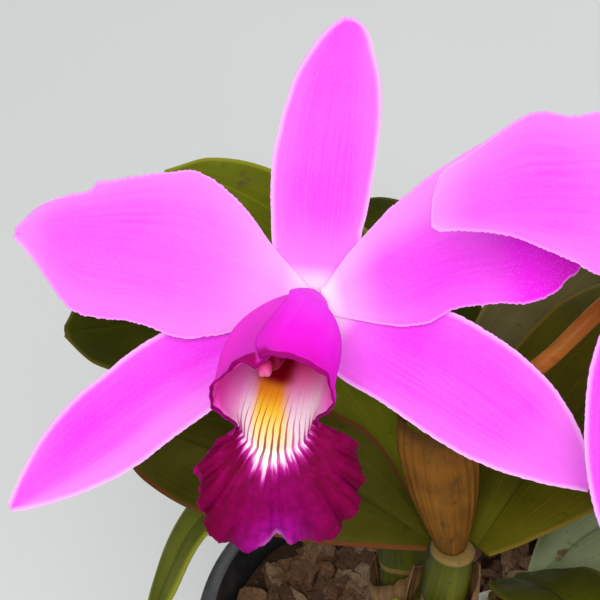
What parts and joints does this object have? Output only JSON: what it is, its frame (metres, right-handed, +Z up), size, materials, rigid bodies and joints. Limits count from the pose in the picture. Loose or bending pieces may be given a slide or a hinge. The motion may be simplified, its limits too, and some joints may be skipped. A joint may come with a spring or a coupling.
{
  "type": "potted cattleya orchid",
  "caption": "Bifoliate cattleya orchid with magenta frilled-lip blooms over strap leaves, standing in a round black nursery pot of bark.",
  "frame": {"origin": "centre of the pot's underside, on the surface that it stands on", "axes": "+Z up; the blooms face -Y and upwards; +X is to the right of someone who faces the blooms"},
  "size_m": [0.1983, 0.1836, 0.3234],
  "materials": {
    "pot_plastic": "black moulded polypropylene, faint ribs, dusty rim",
    "bark": "rough brown fir bark chips",
    "rhizome_skin": "dry ringed stem with pale silvery roots",
    "cane_skin": "smooth green cane, faint furrows and node rings",
    "leaf": "thick olive green leaf, satin wax, pale midrib",
    "dry_bract": "dry tan papery sheath with lengthwise veins",
    "flower_stalk": "smooth stalk, green brown turning maroon",
    "tepal": "vivid pink magenta petal, sparkling cells, paler at the margins",
    "lip": "deep magenta velvet lip with a yellow striped pale throat",
    "column": "waxy pale pink column and anther cap"
  },
  "bodies": {
    "root": {"pot": "pot_plastic", "bark_medium": "bark", "rhizome": "rhizome_skin", "cane_flowering": "cane_skin", "cane_second": "cane_skin", "cane_third": "cane_skin", "cane_oldest": "cane_skin", "cane_side": "cane_skin", "cane_new": "cane_skin", "leaf_flowering_left": "leaf", "leaf_flowering_right": "leaf", "leaf_second_up": "leaf", "leaf_second_left": "leaf", "leaf_third_left": "leaf", "leaf_third_right": "leaf", "leaf_oldest_left": "leaf", "leaf_oldest_right": "leaf", "leaf_side_left": "leaf", "leaf_side_right": "leaf", "leaf_new_growth": "leaf", "sheath_flowering": "dry_bract", "sheath_second": "dry_bract", "sheath_third": "dry_bract", "sheath_side": "dry_bract", "spathe": "dry_bract", "flower_stem": "flower_stalk", "bloom_one_sepal_dorsal": "tepal", "bloom_one_petal_left": "tepal", "bloom_one_petal_right": "tepal", "bloom_one_sepal_lateral_left": "tepal", "bloom_one_sepal_lateral_right": "tepal", "bloom_one_lip": "lip", "bloom_one_column": "column", "bloom_one_anther_cap": "column", "bloom_two_sepal_dorsal": "tepal", "bloom_two_petal_left": "tepal", "bloom_two_petal_right": "tepal", "bloom_two_sepal_lateral_left": "tepal", "bloom_two_sepal_lateral_right": "tepal", "bloom_two_lip": "lip", "bloom_two_column": "column", "bloom_two_anther_cap": "column"}
  },
  "joints": []
}
